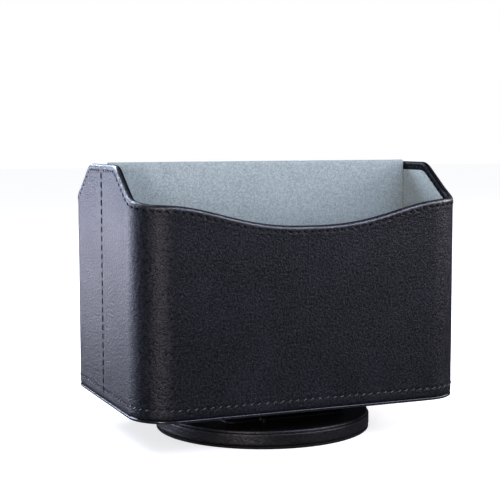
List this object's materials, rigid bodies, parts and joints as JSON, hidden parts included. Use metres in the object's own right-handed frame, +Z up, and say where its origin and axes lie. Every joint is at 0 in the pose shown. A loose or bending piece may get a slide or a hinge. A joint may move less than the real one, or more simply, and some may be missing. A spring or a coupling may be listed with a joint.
{
  "type": "rotating desk caddy",
  "caption": "Leather-covered desk caddy with front and rear compartments either side of a tall divider, turning on a round base.",
  "frame": {"origin": "centre of the underside of the round base, on the turntable's axis", "axes": "+Z up along the turntable's axis, +X to the right along the body's width, -Y towards the front compartment"},
  "size_m": [0.2, 0.142, 0.1604],
  "materials": {
    "black_leather": "fine-grained black leather, satin",
    "grey_suede": "short-napped grey suede, matt",
    "fibreboard": "raw fibreboard, matt",
    "pad_rubber": "black foam rubber, matt",
    "black_steel": "steel with a black baked coating, satin",
    "ball_steel": "polished bearing steel",
    "cage_plastic": "black nylon, satin"
  },
  "bodies": {
    "base": {"base_board": "fibreboard", "base_top_cover": "black_leather", "base_rim_band": "black_leather", "anti_slip_pad": "pad_rubber", "bearing_lower_plate": "black_steel", "bearing_rivet": "black_steel", "lower_plate_screw_1": "black_steel", "lower_plate_screw_2": "black_steel", "lower_plate_screw_3": "black_steel", "lower_plate_screw_4": "black_steel"},
    "ball_ring": {"ball_cage": "cage_plastic", "bearing_ball_1": "ball_steel", "bearing_ball_2": "ball_steel", "bearing_ball_3": "ball_steel", "bearing_ball_4": "ball_steel", "bearing_ball_5": "ball_steel", "bearing_ball_6": "ball_steel", "bearing_ball_7": "ball_steel", "bearing_ball_8": "ball_steel", "bearing_ball_9": "ball_steel", "bearing_ball_10": "ball_steel", "bearing_ball_11": "ball_steel", "bearing_ball_12": "ball_steel"},
    "caddy": {"front_leather_cover": "black_leather", "front_shell_board": "fibreboard", "front_lining": "grey_suede", "rear_leather_cover": "black_leather", "rear_shell_board": "fibreboard", "rear_lining": "grey_suede", "divider_board": "fibreboard", "divider_front_lining": "grey_suede", "divider_rear_lining": "grey_suede", "divider_edge_wrap": "grey_suede", "floor_board": "fibreboard", "front_floor_lining": "grey_suede", "rear_floor_lining": "grey_suede", "underside_cover": "black_leather", "bearing_upper_plate": "black_steel", "upper_plate_screw_1": "black_steel", "upper_plate_screw_2": "black_steel", "upper_plate_screw_3": "black_steel", "upper_plate_screw_4": "black_steel"}
  },
  "joints": [
    {"name": "caddy_spin", "type": "hinge", "parent": "base", "child": "caddy", "pos_m": [0, 0, 0.0162], "axis": [0, 0, 1], "continuous": true},
    {"name": "ball_ring_spin", "type": "hinge", "parent": "base", "child": "ball_ring", "pos_m": [0, 0, 0.0162], "axis": [0, 0, 1], "continuous": true}
  ],
  "couplings": [
    {"joint": "ball_ring_spin", "follows": "caddy_spin", "ratio": 0.5}
  ]
}
